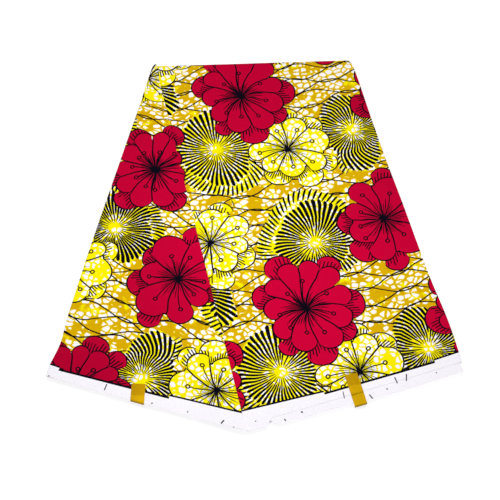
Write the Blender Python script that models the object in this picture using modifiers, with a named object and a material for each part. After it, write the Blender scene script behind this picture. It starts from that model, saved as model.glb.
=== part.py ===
"""A long length of printed cotton, folded into a pack and laid flat with its front opened into a fan.

The cloth is folded selvedge to selvedge over its top end. The front sheet shows as two panels: the right
panel runs straight down from the top fold, and the left panel swings out from the top left corner and
ends in a knife pleat, whose fold runs from that corner to the point at the bottom. Below them lie a
second layer, whose selvedge shows past the right panel, the hidden folds, and the back sheet. Two blank
foil labels are stuck over the selvedge.

+X is to the right, +Y runs from the selvedge towards the top fold, +Z is up. Tables are in millimetres.
"""

import math

import bmesh
import bpy
from mathutils import Vector

MM = 0.001

# Thickness of the cloth and of the pack
WALL = 1.0
GAP = 0.4
HEIGHT_TOP = 14.0
HEIGHT_SELVEDGE = 9.0
HEIGHT_SPAN = 600.0

# A folded edge: the wall turns back under itself
TURN_RADIUS = (WALL + 0.5) / 2
FOLD_DROP = 2 * TURN_RADIUS
TURN_STEPS = 6
LIP = 12.0
TIP_LIP = 0.6

# The knife pleat between the panels
PLEAT_DEPTH = 45.0
PLEAT_SPREAD = math.radians(15.0)
PLEAT_REST = 16.0
PLEAT_FALL = 42.0

# The round top fold, and the flap that it leaves on the floor
TOP_SHARE = 0.0131
NOSE_STEPS = 8
NOSE_FLAP = 10.0

LABEL_WALL = 0.5

# Outline of the pack, from the top fold down to the selvedge, as x, y
LEFT_EDGE = [
    (-152.4, 302.4),
    (-172.5, 214.3),
    (-204.2, 85.0),
    (-227.9, -15.1),
    (-254.3, -135.1),
    (-261.9, -178.7),
    (-275.3, -215.6),
    (-278.5, -229.7),
]
RIGHT_EDGE = [
    (145.0, 311.3),
    (173.8, 197.7),
    (191.2, 125.7),
    (211.2, 49.4),
    (228.0, -17.8),
    (243.3, -78.1),
    (262.9, -144.1),
    (277.5, -209.0),
]
PLEAT_LINE = [(-150.0, 302.6), (-17.4, -284.3), (-8.5, -311.3)]
LEFT_SELVEDGE = [(-278.5, -229.7), (-166.3, -265.4), (-26.1, -307.5), (-8.5, -311.3)]
RIGHT_SELVEDGE = [(-8.5, -311.3), (15.7, -303.7), (21.0, -292.5), (29.4, -289.4), (277.5, -209.0)]
SECOND_SELVEDGE = [(21.5, -309.2), (53.8, -300.6), (126.5, -276.0), (278.5, -222.8)]

# How far each hidden fold stands out from the mean edge, in mm, from the floor up
HIDDEN_FOLDS = [
    {"left": 0.6, "right": 0.0, "front_left": 1.5, "front_right": 0.5},
    {"left": -0.7, "right": 0.9, "front_left": -1.0, "front_right": 2.0},
    {"left": 0.3, "right": -0.6, "front_left": 0.8, "front_right": -1.5},
    {"left": 0.8, "right": 0.5, "front_left": -0.4, "front_right": 1.2},
    {"left": -0.4, "right": 0.7, "front_left": 1.0, "front_right": 3.0},
]
HIDDEN_INSET = 3.2
FOLD_GROOVE = 0.9

# Foil labels: where the middle of each starts on the print, the way it runs, and the edge it bends over
LABELS = {
    "left_label": {
        "start": (-154.1, -241.9),
        "heading": -92.2,
        "width": 18.5,
        "edge": LEFT_SELVEDGE[1:3],
    },
    "right_label": {
        "start": (127.7, -227.1),
        "heading": -75.2,
        "width": 17.3,
        "edge": SECOND_SELVEDGE[2:4],
    },
}
LABEL_BEND = 1.0
LABEL_HANG = 4.0

COLOURS = {
    "cloth": (0.83, 0.62, 0.05, 1.0),
    "cloth_red": (0.62, 0.0, 0.04, 1.0),
    "selvedge": (0.9, 0.88, 0.9, 1.0),
    "foil": (0.66, 0.44, 0.02, 1.0),
}


def smooth_step(value):
    value = max(0.0, min(1.0, value))
    return value * value * (3 - 2 * value)


def polyline_point(points, fraction):
    """The point at a fraction of a polyline's length."""
    lengths = [math.dist(a, b) for a, b in zip(points, points[1:])]
    left = fraction * sum(lengths)
    for a, b, length in zip(points, points[1:], lengths):
        if left <= length or b is points[-1]:
            return Vector(a).lerp(Vector(b), left / length)
        left -= length
    return Vector(points[-1])


def curve_point(points, fraction):
    """The point at a fraction of a smooth curve through the points (Catmull-Rom, by chord length)."""
    lengths = [math.dist(a, b) for a, b in zip(points, points[1:])]
    left = max(0.0, min(1.0, fraction)) * sum(lengths)
    index = 0
    while index < len(lengths) - 1 and left > lengths[index]:
        left -= lengths[index]
        index += 1
    t = left / lengths[index]
    a, b = Vector(points[index]), Vector(points[index + 1])
    before = Vector(points[index - 1]) if index else a * 2 - b
    after = Vector(points[index + 2]) if index + 2 < len(points) else b * 2 - a
    slope_a, slope_b = (b - before) / 2, (after - a) / 2
    return (
        a * (2 * t**3 - 3 * t**2 + 1)
        + slope_a * (t**3 - 2 * t**2 + t)
        + b * (3 * t**2 - 2 * t**3)
        + slope_b * (t**3 - t**2)
    )


def curve_length(points):
    return sum(math.dist(a, b) for a, b in zip(points, points[1:]))


def pack_height(y):
    """Height of the right panel's top face: the pack is thickest at the top fold."""
    share = y / HEIGHT_SPAN + 0.5
    return HEIGHT_SELVEDGE + (HEIGHT_TOP - HEIGHT_SELVEDGE) * share


def pleat_frame():
    """The pleat fold's lower end, and the unit vectors up along it and to its left."""
    bottom = Vector(PLEAT_LINE[-1])
    along = (Vector(PLEAT_LINE[0]) - bottom).normalized()
    return bottom, along, Vector((-along.y, along.x))


def left_panel_width(fraction):
    return (curve_point(LEFT_EDGE, fraction) - polyline_point(PLEAT_LINE, fraction)).length


def pleat_depth(fraction):
    """Width of the cloth folded back under the left panel, nothing at the selvedge."""
    run = (1 - fraction) * curve_length(PLEAT_LINE)
    depth = min(PLEAT_DEPTH, run * math.tan(PLEAT_SPREAD))
    return max(TIP_LIP, min(depth, 0.4 * left_panel_width(fraction)))


def underlap_depth(fraction):
    """How far the right panel runs under the left one, measured from the pleat fold."""
    run = (1 - fraction) * curve_length(PLEAT_LINE)
    depth = min(PLEAT_DEPTH, run * math.tan(PLEAT_SPREAD))
    return max(TIP_LIP, min(depth, left_panel_width(fraction) - 2.5))


def left_panel_level(point, fraction):
    """Height of the left panel's middle surface: it rides over the pleat and then comes to rest on the pack."""
    bottom, along, leftward = pleat_frame()
    away = (point - bottom).dot(leftward)
    start = underlap_depth(fraction) + PLEAT_REST
    raised = GAP + WALL / 2 + FOLD_DROP
    resting = -WALL / 2
    share = smooth_step((away - start) / PLEAT_FALL)
    return pack_height(point.y) + raised + (resting - raised) * share


def turned_edge(edge, across, inward, lip):
    """Points of a folded edge: from the top wall, round the turn, and back under for the lip's width."""
    centre = edge - across * (WALL / 2 + TURN_RADIUS) + inward * TURN_RADIUS
    points = []
    for step in range(TURN_STEPS + 1):
        angle = math.pi / 2 - math.pi * step / TURN_STEPS
        points.append(centre + TURN_RADIUS * (across * math.cos(angle) - inward * math.sin(angle)))
    points.append(points[-1] - across * lip / 2)
    points.append(points[-2] - across * lip)
    return points


def flat_direction(start, end):
    """The level direction from one point towards another."""
    return Vector((end.x - start.x, end.y - start.y, 0.0)).normalized()


def material(name):
    made = bpy.data.materials.get(name) or bpy.data.materials.new(name)
    made.use_nodes = True
    shader = made.node_tree.nodes["Principled BSDF"]
    shader.inputs["Base Color"].default_value = COLOURS[name]
    shader.inputs["Roughness"].default_value = 0.3 if name == "foil" else 0.85
    shader.inputs["Metallic"].default_value = 0.9 if name == "foil" else 0.0
    return made


def object_from_mesh(name, mesh_data, colour):
    mesh = bpy.data.meshes.new(name)
    mesh_data.to_mesh(mesh)
    mesh_data.free()
    made = bpy.data.objects.new(name, mesh)
    made.data.materials.append(material(colour))
    collection.objects.link(made)
    return made


def cloth_wall(name, rows, colour, thickness=WALL):
    """A wall of even thickness round a grid of middle-surface points given in millimetres."""
    grid = bmesh.new()
    made = [[grid.verts.new(point * MM) for point in row] for row in rows]
    for low, high in zip(made, made[1:]):
        for a, b, c, d in zip(low, low[1:], high[1:], high):
            grid.faces.new((a, b, c, d))
    bmesh.ops.recalc_face_normals(grid, faces=grid.faces)
    wall = object_from_mesh(name, grid, colour)
    solidify = wall.modifiers.new("thickness", "SOLIDIFY")
    solidify.thickness = thickness * MM
    solidify.offset = 0.0
    solidify.use_even_offset = True
    solidify.use_rim = True
    return wall


def plate(name, outline, bottom, top, colour):
    """A thin flat layer of cloth between two heights, each a function of y."""
    body = bmesh.new()
    low = [body.verts.new(Vector((x, y, bottom(y))) * MM) for x, y in outline]
    high = [body.verts.new(Vector((x, y, top(y))) * MM) for x, y in outline]
    body.faces.new(low)
    body.faces.new(high)
    for i in range(len(outline)):
        j = (i + 1) % len(outline)
        body.faces.new((low[i], low[j], high[j], high[i]))
    bmesh.ops.recalc_face_normals(body, faces=body.faces)
    return object_from_mesh(name, body, colour)


def make_right_panel():
    """The right panel: a flap on the floor, the round top fold, the flat front and its folded right edge."""
    shares = [0.04, 0.1, 0.2, 0.3, 0.4, 0.5, 0.6, 0.7, 0.78, 0.85, 0.9, 0.94, 0.975, 1.0]
    columns = [0.0, 0.04, 0.085, 0.105, 0.135, 0.25, 0.4, 0.55, 0.7, 0.85, 1.0]
    _, _, leftward = pleat_frame()

    def boundary(fraction):
        hidden = polyline_point(PLEAT_LINE, fraction) + leftward * underlap_depth(fraction)
        return hidden, curve_point(RIGHT_EDGE, fraction)

    def flat_row(fraction):
        """The row of points on the flat front, with the right one on the folded edge's outside."""
        left, right = boundary(fraction)
        left_end, right_end = boundary(1.0)
        row = []
        for column in columns:
            bend = polyline_point(RIGHT_SELVEDGE, column) - left_end.lerp(right_end, column)
            row.append(left.lerp(right, column) + bend * smooth_step((fraction - 0.9) / 0.1))
        return row

    def finished(row, inward, lip):
        """The row with its last point replaced by the folded edge."""
        across = flat_direction(row[-2], row[-1])
        return row[:-1] + turned_edge(row[-1], across, inward, lip)

    corners = boundary(0.0)
    shoulder = flat_row(TOP_SHARE)
    outward = (corners[1] - shoulder[-1]).normalized()
    radius = (pack_height(shoulder[-1].y) - WALL) / 2
    flap = [Vector((*(point - outward * NOSE_FLAP), WALL / 2)) for point in shoulder]
    rows = [finished(flap, Vector((0, 0, 1)), TIP_LIP)]
    for step in range(NOSE_STEPS + 1):
        angle = -math.pi / 2 + math.pi * step / NOSE_STEPS
        row = []
        for point in shoulder:
            place = point + outward * radius * math.cos(angle)
            rise = (pack_height(point.y) - WALL) / 2
            row.append(Vector((*place, WALL / 2 + rise * (1 + math.sin(angle)))))
        inward = Vector((*(-outward * math.cos(angle)), -math.sin(angle)))
        rows.append(finished(row, inward, TIP_LIP))
    for share in shares:
        fraction = TOP_SHARE + (1 - TOP_SHARE) * share
        row = [Vector((*point, pack_height(point.y) - WALL / 2)) for point in flat_row(fraction)]
        lip = TIP_LIP + (LIP - TIP_LIP) * smooth_step((share - 0.04) / 0.06)
        rows.append(finished(row, Vector((0, 0, -1)), lip))
    return cloth_wall("right_panel", rows, "cloth")


def make_left_panel():
    """The left panel: its folded outer edge, its front, the pleat fold and the cloth turned back under it."""
    shares = [0.03, 0.06, 0.1, 0.16, 0.22, 0.28, 0.34, 0.4, 0.46, 0.52, 0.58, 0.64]
    shares += [0.7, 0.76, 0.82, 0.88, 0.93, 0.965, 1.0]
    columns = [0.1, 0.22, 0.34, 0.44, 0.53, 0.61, 0.69, 0.76, 0.83, 0.92]
    down = Vector((0, 0, -1))

    def surface_point(fraction, column):
        base = curve_point(LEFT_EDGE, fraction).lerp(polyline_point(PLEAT_LINE, fraction), column)
        chord = Vector(LEFT_SELVEDGE[0]).lerp(Vector(LEFT_SELVEDGE[-1]), column)
        bend = curve_point(LEFT_SELVEDGE, column) - chord
        point = base + bend * smooth_step((fraction - 0.85) / 0.15)
        return Vector((*point, left_panel_level(point, fraction)))

    rows = []
    for fraction in shares:
        width = left_panel_width(fraction)
        first, last = surface_point(fraction, 0.0), surface_point(fraction, 1.0)
        to_right = flat_direction(first, last)
        outer = turned_edge(first, -to_right, down, max(TIP_LIP, min(LIP, 0.25 * width)))
        inner = turned_edge(last, to_right, down, pleat_depth(fraction))
        taken = (WALL / 2 + TURN_RADIUS) / width
        middle = []
        for column in columns:
            middle.append(surface_point(fraction, taken + (1 - 2 * taken) * column))
        rows.append(outer[::-1] + middle + inner)
    return cloth_wall("left_panel", rows, "cloth_red")


def inset_line(points, distance):
    """A polyline moved to its left by a distance, in mm."""
    moved = []
    for i, point in enumerate(points):
        before, after = points[max(i - 1, 0)], points[min(i + 1, len(points) - 1)]
        along = (Vector(after) - Vector(before)).normalized()
        moved.append((point[0] - along.y * distance, point[1] + along.x * distance))
    return moved


def make_second_layer():
    """The layer under the right panel. Only its selvedge shows, past the right panel's own."""
    side = LIP + 5.0
    top = [(LEFT_EDGE[0][0] + side, 294.5), (RIGHT_EDGE[0][0] - side, 302.5)]
    right = inset_line([tuple(curve_point(RIGHT_EDGE, share)) for share in (0.1, 0.4, 0.7, 0.97)], -side)
    corner = [(263.5, -216.8), (278.5, -213.2)]
    front = SECOND_SELVEDGE[::-1]
    hidden = [(18.0, -283.0), (-12.0, -292.0), (-255.0, -222.0)]
    left = inset_line([tuple(curve_point(LEFT_EDGE, share)) for share in (0.1, 0.4, 0.7, 0.8, 0.87, 0.95)], side)
    outline = top + right + corner + front + hidden + left[::-1]
    return plate(
        "second_layer",
        outline,
        lambda y: pack_height(y) - 2 * WALL - GAP,
        lambda y: pack_height(y) - WALL - GAP,
        "cloth",
    )


def make_back_sheet():
    """The back of the cloth, flat on the surface under the whole pack, up to the flap of the top fold."""
    top = [(-150.0, 281.5), (147.0, 292.0)]
    left = inset_line([tuple(curve_point(LEFT_EDGE, share)) for share in (0.07, 0.35, 0.7, 1.0)], 1.5)
    right = inset_line([tuple(curve_point(RIGHT_EDGE, share)) for share in (1.0, 0.7, 0.35, 0.07)], 1.5)
    front = [(-17.0, -306.0), (20.0, -300.0)]
    return plate("back_sheet", top[:1] + left + front + right + top[1:], lambda y: 0.0, lambda y: WALL, "cloth")


def make_hidden_folds():
    """The layers that don't show, as one solid with round top end and a ridge for each fold at the edges."""
    corners = {
        "top_left": Vector(LEFT_EDGE[0]),
        "left_end": Vector(LEFT_EDGE[-1]),
        "point": Vector(PLEAT_LINE[-1]),
        "right_end": Vector(RIGHT_EDGE[-1]),
        "top_right": Vector(RIGHT_EDGE[0]),
    }
    order = list(corners)
    sides = ["left", "front_left", "front_right", "right", "top"]
    pieces = {"left": 10, "front_left": 4, "front_right": 5, "right": 10, "top": 4}
    edges = {"left": LEFT_EDGE, "right": RIGHT_EDGE[::-1]}
    ends = {
        side: (corners[order[i]], corners[order[(i + 1) % len(order)]]) for i, side in enumerate(sides)
    }
    outward = {}
    for side, (a, b) in ends.items():
        along = (b - a).normalized()
        outward[side] = Vector((along.y, -along.x))

    def floor_height(y):
        return WALL + GAP

    def roof_height(y):
        return pack_height(y) - 2 * WALL - 2 * GAP - 0.1

    def inset(side, share):
        """How far this side lies inside the outline at a share of the stack's height."""
        if side == "top":
            radius = (roof_height(300.0) - floor_height(300.0)) / 2
            return 3.6 + radius * (1 - math.sqrt(max(0.0, 1 - (2 * share - 1) ** 2)))
        place = share * len(HIDDEN_FOLDS)
        layer = min(int(place), len(HIDDEN_FOLDS) - 1)
        within = place - layer
        groove = FOLD_GROOVE * abs(2 * within - 1) ** 3
        stand_out = HIDDEN_FOLDS[layer][side]
        if within < 0.01 and layer:
            stand_out = min(stand_out, HIDDEN_FOLDS[layer - 1][side])
        return HIDDEN_INSET - stand_out + groove

    def loop(share):
        moved = {}
        for i, name in enumerate(order):
            before, after = sides[i - 1], sides[i]
            n1, n2 = outward[before], outward[after]
            d1, d2 = -inset(before, share), -inset(after, share)
            det = n1.x * n2.y - n1.y * n2.x
            moved[name] = corners[name] + Vector(((d1 * n2.y - d2 * n1.y) / det, (n1.x * d2 - n2.x * d1) / det))
        points = []
        for i, side in enumerate(sides):
            a, b = moved[order[i]], moved[order[(i + 1) % len(order)]]
            for k in range(pieces[side]):
                fraction = k / pieces[side]
                point = a.lerp(b, fraction)
                if side in edges:
                    true_a, true_b = ends[side]
                    point = point + curve_point(edges[side], fraction) - true_a.lerp(true_b, fraction)
                height = floor_height(point.y) + share * (roof_height(point.y) - floor_height(point.y))
                points.append(Vector((*point, height)))
        return points

    body = bmesh.new()
    levels = [0.0]
    for layer in range(len(HIDDEN_FOLDS)):
        levels += [(layer + within) / len(HIDDEN_FOLDS) for within in (0.15, 0.5, 0.85, 1.0)]
    rings = [[body.verts.new(point * MM) for point in loop(share)] for share in levels]
    for low, high in zip(rings, rings[1:]):
        for i in range(len(low)):
            j = (i + 1) % len(low)
            body.faces.new((low[i], low[j], high[j], high[i]))
    body.faces.new(rings[0])
    body.faces.new(rings[-1])
    bmesh.ops.recalc_face_normals(body, faces=body.faces)
    return object_from_mesh("hidden_folds", body, "selvedge")


def distance_to_edge(point, along, edge):
    """How far it is from a point, in a direction, to the line through an edge's two ends."""
    side = Vector(edge[1]) - Vector(edge[0])
    normal = Vector((-side.y, side.x)).normalized()
    return (Vector(edge[0]) - point).dot(normal) / along.dot(normal)


def make_label(name, top_height):
    """A blank foil label: a strip over the selvedge that bends down in front of the layers."""
    size = LABELS[name]
    angle = math.radians(size["heading"])
    along, across = Vector((math.cos(angle), math.sin(angle))), Vector((-math.sin(angle), math.cos(angle)))
    starts = [Vector(size["start"]) + across * size["width"] * side for side in (0.5, 0.0, -0.5)]
    flats = [distance_to_edge(start, along, size["edge"]) - 0.3 for start in starts]
    rows = []
    for share in (0.0, 0.3, 0.6, 1.0):
        row = []
        for start, flat in zip(starts, flats):
            point = start + along * flat * share
            row.append(Vector((*point, top_height(point) + GAP + LABEL_WALL / 2)))
        rows.append(row)
    ends = rows[-1]
    for bend in (math.pi / 4, math.pi / 2):
        onward = Vector((*along, 0.0)) * LABEL_BEND * math.sin(bend)
        drop = Vector((0.0, 0.0, LABEL_BEND * (1 - math.cos(bend))))
        rows.append([point + onward - drop for point in ends])
    hang = Vector((0.0, 0.0, LABEL_HANG - LABEL_BEND))
    rows.append([point - hang for point in rows[-1]])
    return cloth_wall(name, rows, "foil", LABEL_WALL)


for old in list(bpy.data.objects):
    bpy.data.objects.remove(old, do_unlink=True)
collection = bpy.data.collections.new("folded_wax_print")
bpy.context.scene.collection.children.link(collection)

make_back_sheet()
make_hidden_folds()
make_second_layer()
make_right_panel()
make_left_panel()


def over_left_panel(point):
    return left_panel_level(point, 0.97) + WALL / 2


def over_right_panel(point):
    return pack_height(point.y)


make_label("left_label", over_left_panel)
make_label("right_label", over_right_panel)
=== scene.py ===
# %% [markdown]
# # A folded length of printed cotton
# The cloth is one long piece of wax print, folded selvedge to selvedge and laid flat, with its front
# opened like a fan. We load the solid model first. It fixes every size, and each piece that we make
# below stands in for one of its parts.

# %% Load the frame
import math

import bmesh
import bpy
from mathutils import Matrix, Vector


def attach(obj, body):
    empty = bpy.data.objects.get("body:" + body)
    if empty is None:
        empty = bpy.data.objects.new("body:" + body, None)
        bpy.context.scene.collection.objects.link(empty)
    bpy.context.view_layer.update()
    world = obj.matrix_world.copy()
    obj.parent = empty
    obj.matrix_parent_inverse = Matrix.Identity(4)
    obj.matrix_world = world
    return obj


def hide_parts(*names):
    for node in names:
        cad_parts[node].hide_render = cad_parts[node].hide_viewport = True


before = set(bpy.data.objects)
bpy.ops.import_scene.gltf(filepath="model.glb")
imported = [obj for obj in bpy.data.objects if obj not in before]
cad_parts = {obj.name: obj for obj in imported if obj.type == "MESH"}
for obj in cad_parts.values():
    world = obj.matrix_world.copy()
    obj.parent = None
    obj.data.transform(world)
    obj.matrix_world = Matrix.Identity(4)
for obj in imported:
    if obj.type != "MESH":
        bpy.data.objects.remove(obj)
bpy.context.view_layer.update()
scene = bpy.context.scene

# %% [markdown]
# ## Outlines
# A fanned cloth has no straight sides, so its sides are smooth curves through a few measured points, and
# its front edges are broken lines. All tables are in millimetres. X runs to the right and Y from the
# selvedge to the top fold.

# %% Measured outlines
MM = 0.001
LEFT_SIDE = [
    (-152.5, 304.0), (-172.5, 214.3), (-204.2, 85.0), (-227.9, -15.1),
    (-254.3, -135.1), (-261.9, -178.7), (-275.3, -215.6), (-278.5, -229.7),
]
RIGHT_SIDE = [
    (143.6, 311.3), (152.7, 288.2), (173.8, 197.7), (191.2, 125.7),
    (211.2, 49.4), (228.0, -17.8), (243.3, -78.1), (262.9, -144.1), (277.5, -209.0),
]
PLEAT = [(-147.8, 304.2), (-144.6, 276.0), (-17.4, -284.3), (-8.5, -311.3)]
LEFT_FRONT = [
    (-278.5, -229.7), (-203.3, -253.8), (-166.3, -265.4), (-124.8, -277.4), (-26.1, -307.5), (-8.5, -311.3),
]
RIGHT_FRONT = [(-8.5, -311.3), (15.7, -303.7), (21.0, -292.5), (29.4, -289.4), (277.5, -209.0)]
UNDER_FRONT = [(21.5, -309.2), (53.8, -300.8), (126.5, -276.0), (191.5, -255.5), (278.5, -222.8)]
INNER_FRONT = [
    (-278.5, -229.7), (-203.3, -253.8), (-124.8, -277.4), (-26.1, -307.5),
    (-8.5, -311.3), (21.0, -303.0), (126.5, -270.0), (277.5, -218.0),
]


def length_of(points):
    return sum(math.dist(a, b) for a, b in zip(points, points[1:]))


def leg_at(points, share):
    """Which leg of a line of points a share of its length falls on, and how far along that leg."""
    lengths = [math.dist(a, b) for a, b in zip(points, points[1:])]
    left = max(0.0, min(1.0, share)) * sum(lengths)
    leg = 0
    while leg < len(lengths) - 1 and left > lengths[leg]:
        left -= lengths[leg]
        leg += 1
    return leg, left / lengths[leg]


def place_on(points, share):
    """The point at a share of the length of a smooth curve through the points."""
    leg, t = leg_at(points, share)
    a, b = Vector(points[leg]), Vector(points[leg + 1])
    before = Vector(points[leg - 1]) if leg else a * 2 - b
    after = Vector(points[leg + 2]) if leg + 2 < len(points) else b * 2 - a
    place = a * (2 * t**3 - 3 * t**2 + 1) + b * (3 * t**2 - 2 * t**3)
    return place + (b - before) / 2 * (t**3 - 2 * t**2 + t) + (after - a) / 2 * (t**3 - t**2)


def straight_on(points, share):
    """The point at a share of the length of a broken line."""
    leg, t = leg_at(points, share)
    return Vector(points[leg]).lerp(Vector(points[leg + 1]), t)


def ease(value, start=0.0, end=1.0):
    """A smooth step, from 0 where the value is at start to 1 where it is at end."""
    value = max(0.0, min(1.0, (value - start) / (end - start)))
    return value * value * (3 - 2 * value)


def pulled(point, front, ends, across, amount):
    """Shift a point by what the front line has over the straight line between two ends."""
    return point + (front - Vector(ends[0]).lerp(Vector(ends[-1]), across)) * amount


def top_of_pack(y):
    """Height of the top sheet: 14 mm at the top fold and 9 mm at the selvedge."""
    return 9.0 + 5.0 * (y / 600.0 + 0.5)


print("the left side is", round(length_of(LEFT_SIDE)), "mm long")

# %% [markdown]
# ## Where the print falls
# The print belongs to the flat cloth, so every sheet carries a UV map in metres of flat cloth, called
# "print". The right panel lies square to its print. The left panel is the far half of the same cloth,
# so it shows the same print turned by 210 degrees. A second map, "selvedge", holds how far each point
# lies along the cloth's edge and in from it.

# %% Print coordinates
WEFT_TILT = math.radians(13.8)
LEFT_TURN = math.radians(210.25)
LEFT_SHIFT = Vector((63.15, -152.64))


def turned(x, y, angle):
    c, s = math.cos(angle), math.sin(angle)
    return x * c - y * s, x * s + y * c


def right_print(x, y):
    """Print coordinates, in mm, of a point of the right panel."""
    return turned(x, y, -WEFT_TILT)


def left_print(x, y):
    """Print coordinates, in mm, of a point of the left panel: turned back onto the right panel's."""
    return right_print(*turned(x - LEFT_SHIFT.x, y - LEFT_SHIFT.y, LEFT_TURN))


print("print at the middle of the right panel:", [round(v, 1) for v in right_print(80.0, 0.0)])

# %% [markdown]
# ## Shader maths as plain expressions
# The print is drawn by numbers: distances, angles and thresholds. Wiring Math nodes by hand would hide
# that, so a small class wraps a socket and lets us write `width - abs(distance)` in Python.

# %% A socket that does arithmetic
class Wire:
    """One output of a node. Arithmetic on it adds Math nodes to its tree."""

    def __init__(self, tree, socket=None):
        self.tree = tree
        self.socket = socket

    def add(self, kind, settings=None, output=0, **sockets):
        """Add any node: its settings first, then the values or links of its sockets."""
        node = self.tree.nodes.new(kind)
        for key, value in (settings or {}).items():
            if key == "stops":
                fill_ramp(node.color_ramp, *value)
            else:
                setattr(node, key, value)
        for key, value in sockets.items():
            socket = node.inputs[int(key[1:])] if key[1:].isdigit() else node.inputs[key.replace("_", " ")]
            if isinstance(value, Wire):
                self.tree.links.new(value.socket, socket)
            else:
                socket.default_value = value
        return Wire(self.tree, node.outputs[output])

    def other(self, output=1):
        """Another output of the same node."""
        return Wire(self.tree, self.socket.node.outputs[output])

    def into(self, node, name):
        self.tree.links.new(self.socket, node.inputs[name])

    def maths(self, operation, *others, kind="ShaderNodeMath", output=0):
        inputs = {f"i{i}": value for i, value in enumerate((self, *others))}
        return self.add(kind, {"operation": operation}, output, **inputs)

    def vectors(self, operation, *others, output=0):
        """The same for a place, a direction or three numbers at once."""
        return self.maths(operation, *others, kind="ShaderNodeVectorMath", output=output)

    def reflected(self, operation, other):
        return self.add("ShaderNodeMath", {"operation": operation}, i0=other, i1=self)

    def __add__(self, other):
        return self.maths("ADD", other)

    def __sub__(self, other):
        return self.maths("SUBTRACT", other)

    def __mul__(self, other):
        return self.maths("MULTIPLY", other)

    def __truediv__(self, other):
        return self.maths("DIVIDE", other)

    def __mod__(self, other):
        return self.maths("FLOORED_MODULO", other)

    def __pow__(self, other):
        return self.maths("POWER", other)

    def __gt__(self, other):
        return self.maths("GREATER_THAN", other)

    def __lt__(self, other):
        return self.maths("LESS_THAN", other)

    def __abs__(self):
        return self.maths("ABSOLUTE")

    def __rsub__(self, other):
        return self.reflected("SUBTRACT", other)

    def __rtruediv__(self, other):
        return self.reflected("DIVIDE", other)

    __radd__ = __add__
    __rmul__ = __mul__

    def low(self, other):
        return self.maths("MINIMUM", other)

    def high(self, other):
        return self.maths("MAXIMUM", other)

    def root(self):
        return self.maths("SQRT")

    def clamped(self):
        return self.add("ShaderNodeClamp", {}, i0=self)

    def wrapped(self, period):
        """The value brought to within half a period of zero."""
        return self.maths("WRAP", period / 2, -period / 2)

    def within(self, width, soft=0.22):
        """1 where this distance is under a width, with an edge softened over a fraction of a millimetre."""
        return ((width - self) / soft + 0.5).clamped()

    def chance(self):
        """A random number from 0 to 1, always the same for the same value."""
        return self.add("ShaderNodeTexWhiteNoise", {"noise_dimensions": "1D"}, W=self)

    def noise(self, scale, output=0, space="2D", **more):
        """Soft patches over a place: a number, or with output 1 three of them."""
        settings = {"noise_dimensions": space}
        return self.add("ShaderNodeTexNoise", settings, output, Vector=self, Scale=scale, **more)

    def in_mm(self):
        """The first two numbers of a place in metres, each as a wire in millimetres."""
        split = self.add("ShaderNodeSeparateXYZ", {}, Vector=self)
        return split * 1000.0, split.other() * 1000.0

    def mixed(self, under, over):
        """One colour laid over another, with this value as the cover."""
        return self.add("ShaderNodeMix", {"data_type": "RGBA"}, output=2, i0=self, i6=under, i7=over)

    def bump(self, shader, strength, distance):
        bump = self.add("ShaderNodeBump", {}, Height=self, Strength=strength, Distance=distance)
        bump.into(shader, "Normal")


def grouped(name, along, across, build, results):
    """Draw a part of the print in a node group of its own, and use it. It gives one wire per result."""
    group = bpy.data.node_groups.new(name, "ShaderNodeTree")
    for label in ("Along", "Across"):
        group.interface.new_socket(label, in_out="INPUT", socket_type="NodeSocketFloat")
    for label in results:
        group.interface.new_socket(label, in_out="OUTPUT", socket_type="NodeSocketFloat")
    start = Wire(group).add("NodeGroupInput")
    end = group.nodes.new("NodeGroupOutput")
    for label, wire in zip(results, build(start, start.other())):
        wire.into(end, label)
    used = along.add("ShaderNodeGroup", {"node_tree": group}, Along=along, Across=across)
    return [used.other(i) for i in range(len(results))]


def fill_ramp(ramp, interpolation, stops):
    """Give a Color Ramp its stops, each a place and three numbers. The places go in first, in order."""
    ramp.interpolation = interpolation
    while len(ramp.elements) < len(stops):
        ramp.elements.new(1.0)
    for element, (place, _) in zip(ramp.elements, stops):
        element.position = place
    for element, (_, numbers) in zip(ramp.elements, stops):
        element.color = (*numbers, 1.0)


def steps(wire, stops, smooth=False):
    """Look a value from 0 to 1 up in a table of (place, three numbers). It gives the three numbers."""
    settings = {"stops": ("LINEAR" if smooth else "CONSTANT", stops)}
    table = wire.add("ShaderNodeValToRGB", settings, Fac=wire)
    split = wire.add("ShaderNodeSeparateColor", {}, Color=table)
    return [split, split.other(1), split.other(2)]


print("a wire knows", len([name for name in dir(Wire) if not name.startswith("_")]), "named operations")

# %% [markdown]
# ## The printer's colours
# Wax print has few flat colours: crimson, a bright yellow, a golden mustard, the white cotton itself and
# a blue-black outline. We write them as the eye reads them on a screen, and turn them into linear light,
# in which shaders count.

# %% Print colours
def ink(red, green, blue):
    """A colour as the eye reads it on a screen, turned into linear light."""
    shares = [value / 255 for value in (red, green, blue)]
    linear = [share / 12.92 if share <= 0.04045 else ((share + 0.055) / 1.055) ** 2.4 for share in shares]
    return (*linear, 1.0)


CRIMSON = ink(199, 0, 53)
DEEP_CRIMSON = ink(172, 0, 44)
YELLOW = ink(245, 231, 0)
MUSTARD = ink(213, 168, 0)
COTTON = ink(247, 243, 250)
OUTLINE = ink(8, 7, 20)
print("crimson in linear light:", [round(value, 3) for value in CRIMSON])

# %% [markdown]
# ## The repeat
# The print repeats every 406 mm along the cloth and every 377.5 mm across it. One repeat holds two
# yellow flowers, three red ones and four sunbursts, all of common kinds. Each is drawn in polar
# coordinates round its own centre: a petal is a circle tucked into a wedge, so a table of wedges and tip
# distances is all that a flower needs.

# %% Table of flowers
REPEAT_ALONG = 406.0
REPEAT_ACROSS = 377.5
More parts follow.
